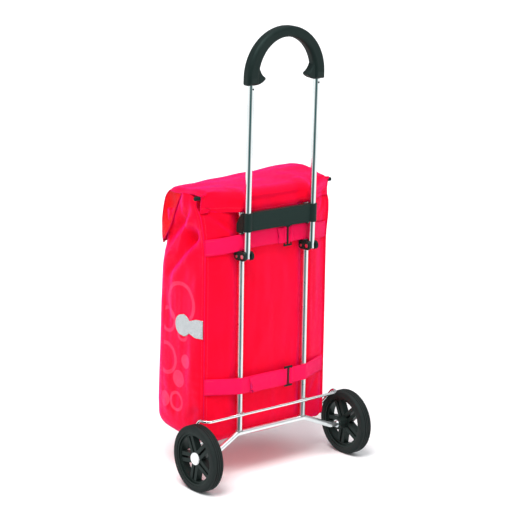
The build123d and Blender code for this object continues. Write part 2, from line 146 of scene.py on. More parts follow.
def crease(a, b, start, end, width):
    """How near points (a, b) are to a line on a panel: 1 on it, 0 away from it and at its ends."""
    a, b = np.asarray(a, float), np.asarray(b, float)
    run = np.array(end, float) - np.array(start, float)
    length = np.hypot(*run)
    along = ((a - start[0]) * run[0] + (b - start[1]) * run[1]) / length
    across = ((a - start[0]) * run[1] - (b - start[1]) * run[0]) / length
    fade = ease(-0.15, 0.25, along / length) * (1 - ease(0.6, 1.1, along / length))
    return np.exp(-((across / width) ** 2)) * fade


def creased(a, b, folds):
    """The sum of several creases, each given as from, to, width and height."""
    return sum(height * crease(a, b, first, last, width) for first, last, width, height in folds)


def curve_through(points, count):
    """A smooth line through a few points, sampled evenly along its length."""
    points = np.asarray(points, float)
    ends = np.vstack([2 * points[0] - points[1], points, 2 * points[-1] - points[-2]])
    out = []
    for k in range(1, len(ends) - 2):
        p0, p1, p2, p3 = ends[k - 1:k + 3]
        for t in np.linspace(0, 1, 24, endpoint=False):
            out.append(0.5 * (2 * p1 + (p2 - p0) * t + (2 * p0 - 5 * p1 + 4 * p2 - p3) * t * t
                              + (3 * p1 - p0 - 3 * p2 + p3) * t ** 3))
    out.append(points[-1])
    return even(np.array(out), count)


def even(line, count):
    """The same line with its points spread evenly."""
    steps = np.r_[0, np.cumsum(np.linalg.norm(np.diff(line, axis=0), axis=1))]
    where = np.linspace(0, steps[-1], count)
    return np.stack([np.interp(where, steps, line[:, k]) for k in range(line.shape[1])], axis=1)


# ---------------------------------------------------------------- mesh helpers

def add_mesh(name, points, faces, material, smooth=True):
    """A mesh object from points in millimetres."""
    data = bpy.data.meshes.new(name)
    data.from_pydata(row(points).tolist(), [], [list(map(int, f)) for f in faces])
    data.update()
    data.polygons.foreach_set("use_smooth", [smooth] * len(data.polygons))
    piece = bpy.data.objects.new(name, data)
    bpy.context.scene.collection.objects.link(piece)
    data.materials.append(material)
    return piece


def grid_faces(rows, columns, closed=False):
    """Quads of a grid of points stored row by row."""
    r, c = np.meshgrid(np.arange(rows - 1), np.arange(columns - (not closed)), indexing="ij")
    r, c = r.ravel(), c.ravel()
    nxt = (c + 1) % columns
    low, high = r * columns, (r + 1) * columns
    return np.stack([low + c, low + nxt, high + nxt, high + c], axis=1)


def set_uv(piece, layer, values):
    """A UV map in metres, one value for each vertex."""
    uv = piece.data.uv_layers.new(name=layer)
    corners = np.zeros(len(piece.data.loops), np.int32)
    piece.data.loops.foreach_get("vertex_index", corners)
    uv.data.foreach_set("uv", np.asarray(values, np.float32)[corners].ravel())


def grid_uv(points):
    """Distances along and across a grid, in metres."""
    along = np.linalg.norm(np.diff(points, axis=1), axis=2)
    down = np.linalg.norm(np.diff(points, axis=0), axis=2)
    u = np.concatenate([np.zeros((points.shape[0], 1)), np.cumsum(along, axis=1)], axis=1)
    v = np.concatenate([np.zeros((1, points.shape[1])), np.cumsum(down, axis=0)], axis=0)
    return np.stack([u, v], axis=2).reshape(-1, 2) * MM


def finished(piece):
    """The same piece with its modifiers applied."""
    graph = bpy.context.evaluated_depsgraph_get()
    data = bpy.data.meshes.new_from_object(piece.evaluated_get(graph))
    old = piece.data
    piece.modifiers.clear()
    piece.data = data
    bpy.data.meshes.remove(old)
    data.name = piece.name
    return piece


def thicken(piece, thickness, offset=-1.0):
    """Gives an open sheet its thickness. Offset -1 keeps the outer face where it is."""
    solid = piece.modifiers.new("thickness", "SOLIDIFY")
    solid.thickness = thickness * MM
    solid.offset = offset
    solid.use_even_offset = False
    return finished(piece)


def frames_along(line, closed=False):
    """Tangent and two side directions at each point of a line."""
    if closed:
        tangent = np.roll(line, -1, axis=0) - np.roll(line, 1, axis=0)
    else:
        tangent = np.gradient(line, axis=0)
    tangent /= np.linalg.norm(tangent, axis=1)[:, None]
    side = np.cross(tangent[0], [0.31, 0.22, 0.93])
    side /= np.linalg.norm(side)
    sides = []
    for t in tangent:
        side = side - t * np.dot(side, t)
        side /= np.linalg.norm(side)
        sides.append(side.copy())
    sides = np.array(sides)
    return tangent, sides, np.cross(tangent, sides)


def tube_points(line, radius, around=8, closed=False):
    """Rings of points round a line."""
    _, a, b = frames_along(line, closed)
    angle = np.arange(around) * 2 * math.pi / around
    ring = (a[:, None, :] * np.cos(angle)[None, :, None] + b[:, None, :] * np.sin(angle)[None, :, None])
    return line[:, None, :] + ring * radius


def tube(name, line, radius, material, around=8, closed=False):
    """A round cord-like trim along a line."""
    rings = tube_points(line, radius, around, closed)
    count = len(line)
    faces = grid_faces(count, around, closed=True).tolist()
    if closed:
        last = (count - 1) * around
        faces += [[last + k, last + (k + 1) % around, (k + 1) % around, k] for k in range(around)]
    else:
        faces += [list(range(around))[::-1], list(range((count - 1) * around, count * around))]
    piece = add_mesh(name, rings.reshape(-1, 3), faces, material)
    set_uv(piece, "weave", grid_uv(rings))
    return piece


def ribbon(name, line, normals, width, thick, material, across=6):
    """A flat band along a line. normals point out of its face; its edges are slightly rounded."""
    line, normals = np.asarray(line, float), np.asarray(normals, float)
    tangent = np.gradient(line, axis=0)
    tangent /= np.linalg.norm(tangent, axis=1)[:, None]
    normals = normals / np.linalg.norm(normals, axis=1)[:, None]
    wide = np.cross(normals, tangent)
    steps = np.linspace(-1, 1, across + 1)
    face = line[:, None] + wide[:, None] * (steps * width / 2)[None, :, None]
    lift = normals[:, None] * thick / 2
    top, low = face + lift, face[:, ::-1] - lift
    edge = width / 2 + thick * 0.35
    left = line[:, None] + wide[:, None] * edge
    right = line[:, None] - wide[:, None] * edge
    rings = np.concatenate([top, left, low, right], axis=1)
    around = rings.shape[1]
    faces = grid_faces(len(line), around, closed=True).tolist()
    faces += [list(range(around))[::-1], list(range((len(line) - 1) * around, len(line) * around))]
    piece = add_mesh(name, rings.reshape(-1, 3), faces, material)
    steps_down = np.r_[0, np.cumsum(np.linalg.norm(np.diff(line, axis=0), axis=1))]
    span = np.concatenate([steps, [1.0], steps[::-1], [-1.0]]) * width / 2
    uv = np.stack(np.broadcast_arrays(steps_down[:, None], span[None, :]), axis=2)
    set_uv(piece, "weave", uv.reshape(-1, 2) * MM)
    return piece


STITCH_PITCH = 3.2
STITCH_LENGTH = 2.4
STITCH_LIFT = 0.15
STITCH_SIDES = 6
THREAD_R = 0.32


def stitches(name, lines, material, radius=THREAD_R):
    """Thread stitches as one piece, along lines given as (points, outward normals)."""
    points, faces = [], []
    for line, normals in lines:
        steps = np.r_[0, np.cumsum(np.linalg.norm(np.diff(line, axis=0), axis=1))]
        for s in np.arange(STITCH_PITCH / 2, steps[-1] - STITCH_LENGTH, STITCH_PITCH):
            base = [np.array([np.interp(q, steps, line[:, k]) for k in range(3)])
                    for q in (s, s + STITCH_LENGTH / 2, s + STITCH_LENGTH)]
            out = np.array([np.interp(s, steps, normals[:, k]) for k in range(3)])
            out /= np.linalg.norm(out)
            run = base[2] - base[0]
            run /= np.linalg.norm(run)
            side = np.cross(out, run)
            first = len(points)
            for q, height, wide in ((0, -0.5, 0.25), (1, 1.0, 1.0), (2, -0.5, 0.25)):
                centre = base[q] + out * (STITCH_LIFT + radius * height * 0.6)
                for k in range(STITCH_SIDES):
                    angle = k * math.pi / 3
                    ring = side * math.cos(angle) * wide + out * math.sin(angle) * wide * 0.7
                    points.append(centre + ring * radius)
            faces += (grid_faces(3, STITCH_SIDES, closed=True) + first).tolist()
            faces.append([first + k for k in range(STITCH_SIDES - 1, -1, -1)])
            faces.append([first + 2 * STITCH_SIDES + k for k in range(STITCH_SIDES)])
    return add_mesh(name, np.array(points), faces, material)


def carried(body, slot, *pieces):
    """Puts pieces on a body. The material slot is not used."""
    for piece in pieces:
        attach(piece, body)


# ---------------------------------------------------------------- material nodes

def add(tree, kind, **settings):
    """A shader node. Settings named in_N go to input N, as a value or as a link from a socket."""
    made = tree.nodes.new("ShaderNode" + kind)
    for key, value in settings.items():
        if not key.startswith("in_"):
            setattr(made, key, value)
            continue
        name = key[3:]
        target = made.inputs[int(name)] if name.isdigit() else made.inputs[name.replace("_", " ")]
        if isinstance(value, bpy.types.NodeSocket):
            tree.links.new(value, target)
        else:
            target.default_value = value
    return made


def start(name, **values):
    """A new material, with the shader's own sockets set to plain values."""
    material = bpy.data.materials.new(name)
    material.use_nodes = True
    shader = material.node_tree.nodes["Principled BSDF"]
    for key, value in values.items():
        shader.inputs[key.replace("_", " ")].default_value = value
    return material, material.node_tree, shader


def place(tree):
    """Positions on the piece, in metres."""
    return add(tree, "TexCoord").outputs["Object"]


def noise_at(tree, where, scale, detail=3.0, rough=0.55):
    """Noise between 0 and 1."""
    return add(tree, "TexNoise", in_Vector=where, in_Scale=scale, in_Detail=detail,
               in_Roughness=rough).outputs["Fac"]


def spread(tree, value, low, high, first=0.3, last=0.7):
    """Remaps a value."""
    made = add(tree, "MapRange", in_Value=value)
    for name, number in (("From Min", first), ("From Max", last), ("To Min", low), ("To Max", high)):
        made.inputs[name].default_value = number
    return made.outputs["Result"]


def blend_colours(tree, amount, low, high):
    """One colour over another."""
    made = add(tree, "MixRGB", blend_type="MIX")
    for target, value in zip(made.inputs, (amount, low, high)):
        if isinstance(value, bpy.types.NodeSocket):
            tree.links.new(value, target)
        else:
            target.default_value = (*value, 1) if isinstance(value, tuple) else value
    return made.outputs["Color"]


def dress(tree, shader, colour, rough, layers):
    """Links colour, roughness and bump. Each bump layer is a height, its depth in metres and strength."""
    tree.links.new(colour, shader.inputs["Base Color"])
    tree.links.new(rough, shader.inputs["Roughness"])
    normal = None
    for height, depth, strength in layers:
        made = add(tree, "Bump", in_Height=height, in_Distance=depth, in_Strength=strength)
        if normal:
            tree.links.new(normal, made.inputs["Normal"])
        normal = made.outputs["Normal"]
    tree.links.new(normal, shader.inputs["Normal"])


def times(tree, first, second):
    """One value multiplied by another."""
    return calculate(tree, "MULTIPLY", first, second)


def calculate(tree, operation, first, second=None):
    """One Math node."""
    made = add(tree, "Math", operation=operation, in_0=first)
    if second is not None:
        if isinstance(second, bpy.types.NodeSocket):
            tree.links.new(second, made.inputs[1])
        else:
            made.inputs[1].default_value = second
    return made.outputs[0]


def weave_axes(tree, layer="weave"):
    """The two coordinates of a UV map, in metres."""
    made = add(tree, "SeparateXYZ", in_Vector=add(tree, "UVMap", uv_map=layer).outputs["UV"])
    return made.outputs["X"], made.outputs["Y"]


def wave(tree, value, pitch):
    """A sine over a length in metres."""
    return calculate(tree, "SINE", times(tree, value, 2 * math.pi / pitch))


def ring_mask(tree, u, v, centre, radius, width):
    """1 on a printed ring, 0 elsewhere."""
    du = calculate(tree, "SUBTRACT", u, centre[0] * MM)
    dv = calculate(tree, "SUBTRACT", v, centre[1] * MM)
    du, dv = times(tree, du, du), times(tree, dv, dv)
    away = calculate(tree, "SQRT", calculate(tree, "ADD", du, dv))
    off = calculate(tree, "ABSOLUTE", calculate(tree, "SUBTRACT", away, radius * MM))
    return spread(tree, off, 1.0, 0.0, (width / 2 - 0.5) * MM, (width / 2 + 0.5) * MM)


# Tone-on-tone print on the side panels: rings and dots, (depth, height), radius, line width
PRINT = [
    ((-112, 398), 45, 9),
    ((-158, 352), 26, 8),
    ((-104, 330), 15, 7),
    ((-163, 262), 34, 9),
    ((-118, 222), 10, 20),
    ((-166, 165), 9, 18),
    ((-124, 168), 20, 7),
    ((-92, 268), 8, 16),
]


def fabric(name, deep, bright, printed=False, sheen=0.55):
    """Coated polyester cloth: plain weave, soft sheen, uneven dye and fine crumpling."""
    material, tree, shader = start(name, Sheen_Weight=sheen, Sheen_Roughness=0.45,
                                   Sheen_Tint=(1.0, 0.03, 0.62, 1), Specular_IOR_Level=0.1,
                                   Specular_Tint=(1.0, 0.06, 0.72, 1))
    where = place(tree)
    u, v = weave_axes(tree)
    broad = noise_at(tree, where, 7.0)
    fine = noise_at(tree, where, 130.0, 4.0)
    colour = blend_colours(tree, spread(tree, broad, 0.0, 1.0, 0.3, 0.72), deep, bright)
    colour = blend_colours(tree, spread(tree, fine, 0.0, 0.12), colour, tuple(0.55 * c for c in deep))
    threads = times(tree, wave(tree, u, 0.0013), wave(tree, v, 0.0013))
    colour = blend_colours(tree, spread(tree, threads, 0.0, 0.14, -1.0, 1.0), colour,
                           tuple(min(1.0, 1.25 * c + 0.02) for c in bright))
    if printed:
        panel = weave_axes(tree, "panel")
        mask = None
        for centre, radius, width in PRINT:
            ring = ring_mask(tree, *panel, centre, radius, width)
            mask = ring if mask is None else calculate(tree, "MAXIMUM", mask, ring)
        wear = spread(tree, noise_at(tree, where, 45.0), 0.16, 0.3)
        colour = blend_colours(tree, times(tree, mask, wear), colour, (0.98, 0.16, 0.3))
    crumple = noise_at(tree, where, 38.0, 5.0, 0.6)
    dress(tree, shader, colour, spread(tree, fine, 0.46, 0.62),
          [(crumple, 0.0012, 0.35), (threads, 0.00012, 0.5)])
    return material


WEBBING_DEEP = (0.96, 0.003, 0.05)
WEBBING_BRIGHT = (1.0, 0.01, 0.12)


def webbing(name):
    """Woven strap: ribs across its length in a chevron."""
    material, tree, shader = start(name, Sheen_Weight=0.4, Sheen_Roughness=0.3,
                                   Sheen_Tint=(1.0, 0.08, 0.5, 1), Specular_IOR_Level=0.2,
                                   Specular_Tint=(1.0, 0.2, 0.7, 1))
    where = place(tree)
    u, v = weave_axes(tree)
    slant = calculate(tree, "ADD", u, times(tree, calculate(tree, "ABSOLUTE", v), 0.55))
    ribs = wave(tree, slant, 0.0021)
    yarn = wave(tree, v, 0.0012)
    weave = times(tree, calculate(tree, "ADD", ribs, 1.4), calculate(tree, "ADD", yarn, 1.6))
    colour = blend_colours(tree, spread(tree, weave, 0.0, 1.0, 0.2, 5.0), WEBBING_DEEP, WEBBING_BRIGHT)
    edge = calculate(tree, "ABSOLUTE", v)
    colour = blend_colours(tree, spread(tree, edge, 0.0, 0.35, 0.0150, 0.0165), colour, (0.85, 0.004, 0.05))
    rough = spread(tree, noise_at(tree, where, 90.0), 0.5, 0.7)
    dress(tree, shader, colour, rough, [(weave, 0.00025, 0.6)])
    return material


def metal(name, colour, low, high, scale=60.0, marks=0.0):
    """Plated steel: roughness that drifts, faint dulling and small scratches."""
    material, tree, shader = start(name, Metallic=1.0)
    where = place(tree)
    drift = noise_at(tree, where, scale)
    haze = noise_at(tree, where, 9.0, 4.0)
    dull = tuple(0.86 * c for c in colour)
    plated = blend_colours(tree, spread(tree, haze, 0.0, 1.0, 0.35, 0.75), colour, dull)
    stretched = add(tree, "Mapping", in_Vector=where)
    stretched.inputs["Scale"].default_value = (1.0, 1.0, 0.08)
    scratch = noise_at(tree, stretched.outputs["Vector"], 900.0, 2.0)
    marked = spread(tree, scratch, 0.0, marks, 0.55, 0.8)
    rough = calculate(tree, "ADD", spread(tree, drift, low, high), marked)
    dress(tree, shader, plated, rough, [(drift, 0.00002, 0.2), (scratch, 0.00001, 0.2)])
    return material


def plastic(name, deep, worn, low, high, grain=700.0, depth=0.00012, **values):
    """Moulded plastic: fine grain, slight colour drift and paler rubbed spots."""
    material, tree, shader = start(name, **values)
    where = place(tree)
    grains = noise_at(tree, where, grain, 2.0)
    drift = noise_at(tree, where, 16.0, 4.0)
    rubbed = add(tree, "NewGeometry").outputs["Pointiness"]
    colour = blend_colours(tree, spread(tree, drift, 0.0, 0.5), deep, worn)
    colour = blend_colours(tree, spread(tree, rubbed, 0.0, 0.6, 0.54, 0.62), colour, worn)
    dress(tree, shader, colour, spread(tree, drift, low, high),
          [(grains, depth, 0.5), (drift, 0.0004, 0.15)])
    return material


def reflective(name):
    """Silver reflective tape with a honeycomb of sealed cells."""
    material, tree, shader = start(name, Metallic=0.35, Specular_IOR_Level=0.5)
    where = place(tree)
    cells = add(tree, "TexVoronoi", in_Vector=add(tree, "UVMap", uv_map="weave").outputs["UV"],
                in_Scale=280.0, feature="DISTANCE_TO_EDGE").outputs["Distance"]
    wall = spread(tree, cells, 0.0, 1.0, 0.03, 0.12)
    colour = blend_colours(tree, wall, (0.62, 0.64, 0.65), (0.36, 0.39, 0.4))
    patchy = spread(tree, noise_at(tree, where, 30.0), 0.0, 0.4)
    colour = blend_colours(tree, patchy, colour, (0.5, 0.5, 0.52))
    rough = spread(tree, noise_at(tree, where, 50.0), 0.3, 0.5)
    dress(tree, shader, colour, rough, [(wall, 0.0001, 0.4)])
    return material


DARK_GLOSS = {"Specular_IOR_Level": 0.16, "Specular_Tint": (0.7, 1.0, 0.94, 1)}
RED_DEEP = (0.8, 0.0008, 0.008)
RED_BRIGHT = (0.94, 0.0015, 0.02)
MATERIALS = {
    "bag_fabric": fabric("bag_fabric", RED_DEEP, RED_BRIGHT, printed=True),
    "lid_fabric": fabric("lid_fabric", RED_DEEP, RED_BRIGHT, sheen=0.8),
    # The gussets' cloth is painted shade: a darker, redder copy of the bag's red for the crescents tucked
    # under the lid.
    "gusset_fabric_painted_shade": fabric("gusset_fabric_painted_shade", (0.72, 0.0006, 0.0008), (0.84, 0.0008, 0.0015), sheen=0.05),
    "binding": fabric("binding", (0.62, 0.001, 0.015), (0.84, 0.004, 0.04)),
    "webbing": webbing("webbing"),
    "thread": plastic("thread", (0.7, 0.01, 0.05), (0.9, 0.05, 0.14), 0.5, 0.7, 1500.0),
    "chrome_tube": metal("chrome_tube", (0.83, 0.87, 0.87), 0.07, 0.14, marks=0.12),
    "chrome_wire": metal("chrome_wire", (0.84, 0.86, 0.86), 0.1, 0.2, marks=0.14),
    "satin_tube": metal("satin_tube", (0.9, 0.92, 0.92), 0.26, 0.36, marks=0.1),
    "dark_steel": metal("dark_steel", (0.07, 0.08, 0.08), 0.3, 0.45, 220.0),
    "zinc_steel": metal("zinc_steel", (0.66, 0.68, 0.7), 0.22, 0.4, 220.0, marks=0.1),
    "weld": metal("weld", (0.34, 0.33, 0.32), 0.4, 0.65, 500.0),
    "black_plastic": plastic("black_plastic", (0.004, 0.011, 0.009), (0.012, 0.024, 0.021), 0.32, 0.5,
                             Specular_IOR_Level=0.14, Specular_Tint=(0.7, 1.0, 0.94, 1)),
    "grip_plastic": plastic("grip_plastic", (0.006, 0.012, 0.011), (0.016, 0.024, 0.022), 0.38, 0.55,
                            520.0, 0.0002, **DARK_GLOSS),
    "wheel_plastic": plastic("wheel_plastic", (0.006, 0.01, 0.009), (0.016, 0.022, 0.02), 0.3, 0.46,
                             **DARK_GLOSS),
    "tyre_rubber": plastic("tyre_rubber", (0.01, 0.013, 0.013), (0.026, 0.028, 0.027), 0.55, 0.8,
                           900.0, 0.00018, **DARK_GLOSS),
    "white_cap": plastic("white_cap", (0.86, 0.88, 0.88), (0.74, 0.75, 0.75), 0.18, 0.32, 1200.0, 0.00003),
    "base_board": plastic("base_board", (0.03, 0.028, 0.026), (0.07, 0.065, 0.06), 0.55, 0.75, 260.0, 0.0003),
    "reflective": reflective("reflective"),
}

# Parts whose finish differs from the others in their slot
FINISHES = {"frame_leg": "satin_tube", "axle": "satin_tube", "grip_rivet": "dark_steel",
            "pivot_rivet": "satin_tube", "bracket_rivet": "satin_tube"}

for entry in frame["record"]["subparts"]:
    data = frame["nodes"][entry["node"]].data
    data.materials.clear()
    data.materials.append(MATERIALS[FINISHES.get(entry["node"].rsplit("_", 1)[0], entry["material_slot"])])


# ---------------------------------------------------------------- bag surface

def side_base(y):
    """Half width of the bag at a depth: a curve through seam, bow and front corner."""
    knots = ((SEAM_Y, SEAM_X), (SIDE_BOW_Y, SIDE_BOW_X), (CORNER_Y, CORNER_X))
    total = 0
    for k, (yk, xk) in enumerate(knots):
        term = xk
        for m, (ym, _) in enumerate(knots):
            if m != k:
                term = term * (y - ym) / (yk - ym)
        total = total + term
    return total


def back_base(x):
    """Depth of the back panel between its seams."""
    return SEAM_Y + (BACK_Y - SEAM_Y) * (1 - (x / SEAM_X) ** 2)


def front_base(x):
    """Depth of the front panel."""
    return FRONT_Y + FRONT_BOW * (x / CORNER_X) ** 2


def outline():
    """The bag from above: points, panel names and outward normals, starting at the right seam."""
    pieces = []
    x = np.linspace(-SEAM_X, SEAM_X, BACK_COLUMNS, endpoint=False)
    pieces.append(("back", np.stack([x, back_base(x)], axis=1)))
    y = np.linspace(SEAM_Y, CORNER_Y + CORNER_R, SIDE_COLUMNS, endpoint=False)
    left = np.stack([side_base(y), y], axis=1)
    ends = [np.array([side_base(CORNER_Y + CORNER_R), CORNER_Y + CORNER_R]), np.array([CORNER_X, CORNER_Y]),
            np.array([CORNER_X - CORNER_R, front_base(CORNER_X - CORNER_R)])]
    t = np.linspace(0, 1, CORNER_COLUMNS, endpoint=False)[:, None]
    inner = [ends[0] + 0.56 * (ends[1] - ends[0]), ends[2] + 0.56 * (ends[1] - ends[2])]
    bend = ((1 - t) ** 3 * ends[0] + 3 * t * (1 - t) ** 2 * inner[0] + 3 * t * t * (1 - t) * inner[1]
            + t ** 3 * ends[2])
    x = np.linspace(CORNER_X - CORNER_R, -CORNER_X + CORNER_R, FRONT_COLUMNS)
    front = np.stack([x, front_base(x)], axis=1)
    pieces += [("left", left), ("corner_left", bend), ("front", front)]
    flip = np.array([-1, 1])
    pieces += [("corner_right", (bend * flip)[:0:-1]), ("right", (left * flip)[::-1])]
    points = np.vstack([p for _, p in pieces])
    panels = np.concatenate([[name] * len(p) for name, p in pieces])
    run = np.roll(points, -1, axis=0) - np.roll(points, 1, axis=0)
    normals = np.stack([-run[:, 1], run[:, 0]], axis=1)
    normals /= np.linalg.norm(normals, axis=1)[:, None]
    return points, panels, normals


OUTLINE, PANELS, NORMALS = outline()


# Folds of the panels: from, to, width and height; negative ones are hollows
BACK_FOLDS = [
    ((168, 626), (100, 562), 7.0, -8.0), ((152, 592), (104, 548), 9.0, 5.0),
    ((-166, 618), (-132, 560), 7.0, -2.4), ((120, 520), (150, 470), 9.0, 1.6),
    ((-30, 520), (-70, 400), 16.0, -1.6), ((20, 330), (58, 240), 15.0, 1.5),
    ((150, 190), (112, 130), 8.0, -2.0), ((-150, 190), (-118, 140), 8.0, -1.8),
]


def back_relief(x, z):
    """How far the back panel stands out from its plain curve."""
    depth = 5.0 * ease(SEAM_X, SEAM_X - 42, np.abs(x)) * ease(96, 150, z) * (1 - 0.35 * ease(560, 620, z))
    for side in (-1, 1):
        press = bell(x, side * LEG_X, 11) * ease(90, 130, z)
        depth -= 4.6 * press * (1 - ease(600, 640, z))
        depth += 2.0 * bell(x, side * (LEG_X + 24), 10) * ease(110, 170, z)
    depth += 1.5 * soft_noise(x / 46, z / 190, 3.1)
    depth += 0.7 * soft_noise(x / 17, z / 90, 8.4)
    depth += creased(x, z, BACK_FOLDS)
    for name, middle in STRAP_Z.items():
        pull = bell(z, middle - 8 * (name == "upper"), 26) * ease(SEAM_X - 60, SEAM_X - 4, np.abs(x))
        depth -= 2.2 * pull
        gather = bell(np.abs(x), SEAM_X - 14, 16) * bell(z, middle, 44)
        depth += 0.9 * gather * np.sin(z / 3.1 + 0.02 * x)
    return depth


SIDE_FOLDS = {
    1: [((-66, 600), (-196, 476), 11.0, 12.0), ((-72, 618), (-190, 532), 10.0, -10.0),
        ((-60, 566), (-182, 446), 9.0, -9.5), ((-56, 536), (-160, 430), 12.0, 8.0),
        ((-112, 640), (-168, 560), 10.0, 3.6), ((-50, 500), (-96, 420), 11.0, -2.2),
        ((-190, 420), (-150, 330), 16.0, -2.2), ((-60, 300), (-84, 200), 13.0, 2.4),
        ((-180, 200), (-120, 140), 12.0, -2.2), ((-52, 170), (-100, 120), 10.0, -2.6)],
    -1: [((-62, 590), (-184, 482), 12.0, 9.0), ((-70, 610), (-180, 536), 10.0, -8.0),
         ((-58, 548), (-150, 446), 11.0, -7.0), ((-108, 640), (-160, 566), 10.0, 3.2),
         ((-186, 400), (-146, 300), 17.0, -2.0), ((-64, 290), (-90, 180), 14.0, 2.2),
         ((-176, 190), (-124, 136), 12.0, -2.0), ((-54, 168), (-96, 118), 10.0, -2.4)],
}


def side_relief(y, z, side):
    """How far a side panel stands out from its plain curve."""
    shifted = 0.0 if side > 0 else 6.7
    depth = 5.0 * bell(y, -66, 26) * ease(96, 180, z) * (1 - ease(470, 545, z))
    depth -= 24.0 * bell(y, -90, 26) * bell(z, 556 - shifted, 27)
    depth += 3.0 * bell(y, -150, 34) * bell(z, 150, 70)
    depth += 1.7 * soft_noise(y / 36 + shifted, z / 165, 12.0 + side)
    depth += 0.7 * soft_noise(y / 15 + shifted, z / 80, 21.0 + side)
    depth += creased(y, z, SIDE_FOLDS[side])
    for middle in STRAP_Z.values():
        depth += 0.8 * bell(y, SEAM_Y - 14, 16) * bell(z, middle, 44) * np.sin(z / 3.3 + 1.0)
    tucked = ease(-104, -128, y) * ease(LID_HEM_Z - 18, LID_HEM_Z + 30, z)
    return depth - tucked * 6.0


FRONT_FOLDS = [
    ((-120, 500), (-60, 330), 20.0, 1.8), ((110, 480), (150, 300), 18.0, -1.6),
    ((-20, 300), (40, 160), 22.0, 1.6), ((130, 180), (60, 116), 14.0, -1.8),
    ((-140, 190), (-80, 120), 14.0, -1.6),
]


def front_relief(x, z):
    """How far the front panel stands out from its plain curve."""
    depth = 3.4 * bell(z, 200, 110) - 2.0 * ease(330, 520, z)
    depth += 1.8 * soft_noise(x / 55, z / 170, 30.5)
    depth += 0.8 * soft_noise(x / 20, z / 90, 33.0)
    return depth + creased(x, z, FRONT_FOLDS)


def top_line(points, panels):
    """Height of the bag's rim at each point of its outline."""
    y = points[:, 1]
    rise = SIDE_TOP_Z - (SIDE_TOP_Z - RIM_Z) * ease(-104, -178, y) - 9.0 * ease(-62, SEAM_Y, y)
    back = BACK_TOP_Z + (SIDE_TOP_Z - 9 - BACK_TOP_Z) * ease(SEAM_X - 26, SEAM_X, np.abs(points[:, 0]))
    return np.where(panels == "back", back, rise)


# How far the bag's front has pulled back at each height, compared with its fullest place
TAPER_Z = (88, 150, 194, 290, 384, 466, 500, 519, 560, 600, 660)
TAPER_Y = (0, 0, 3, 8, 10, 13, 20, 25, 23, 22, 22)


def seam_lean(x, z):
    """How far the rear seams lean forward near the rod."""
    return 9.0 * ease(555, 650, z) * ease(105, SEAM_X, np.abs(x)) ** 1.5


def settled(flat, z):
    """The outline at heights z, with the bag's real lean: slimmer at the top, wider at the rod."""
    x, y = flat[:, :, 0], flat[:, :, 1]
    share = ease(SEAM_Y - 10, CORNER_Y - 5, y)
    rear = ease(-150, SEAM_Y - 6, y)
    y = y + np.interp(z, TAPER_Z, TAPER_Y) * share
    y = y - seam_lean(x, z) * ease(-135, SEAM_Y - 4, y)
    spread_out = ease(500, 622, z) * (1 - 0.6 * ease(622, 650, z))
    x = x * (1 + 0.055 * spread_out * rear * ease(60, SEAM_X, np.abs(x)))
    return np.stack([x, y], axis=2)


def relief(z):
    """Relief of the whole outline at heights z, one row for each height."""
    x = np.broadcast_to(OUTLINE[:, 0], z.shape)
    y = np.broadcast_to(OUTLINE[:, 1], z.shape)
    out = np.zeros(z.shape)
    back, front = PANELS == "back", PANELS == "front"
    out[:, back] = back_relief(x[:, back], z[:, back])
    out[:, front] = front_relief(x[:, front], z[:, front])
    for side, name in ((1, "left"), (-1, "right")):
        flat = PANELS == name
        out[:, flat] = side_relief(y[:, flat], z[:, flat], side)
        bend = PANELS == "corner_" + name
        share = (y[:, bend] - CORNER_Y - CORNER_R) / (FRONT_Y - CORNER_Y - CORNER_R)
        ends = side_relief(y[:, bend], z[:, bend], side), front_relief(x[:, bend], z[:, bend])
        out[:, bend] = ends[0] * (1 - share) + ends[1] * share
    under_lid = ease(LID_HEM_Z - 26, LID_HEM_Z + 6, z) * (y < -120)
    out = np.where(under_lid > 0, out * (1 - under_lid) + np.minimum(out, 0.4) * under_lid, out)
    near_seam = np.exp(-((np.hypot(np.abs(x) - SEAM_X, y - SEAM_Y) / 7.0) ** 2))
    return out * (1 - 0.85 * near_seam)


# Rings of the bag's floor, as shares of the way from its middle to its edge
FLOOR_SHARES = (0.03, 0.12, 0.25, 0.4, 0.55, 0.7, 0.82, 0.92)
# Radius of the bend between floor and wall: at the back, and how much more at the front
BOTTOM_BEND = 15.0
BOTTOM_BEND_MORE = 23.0


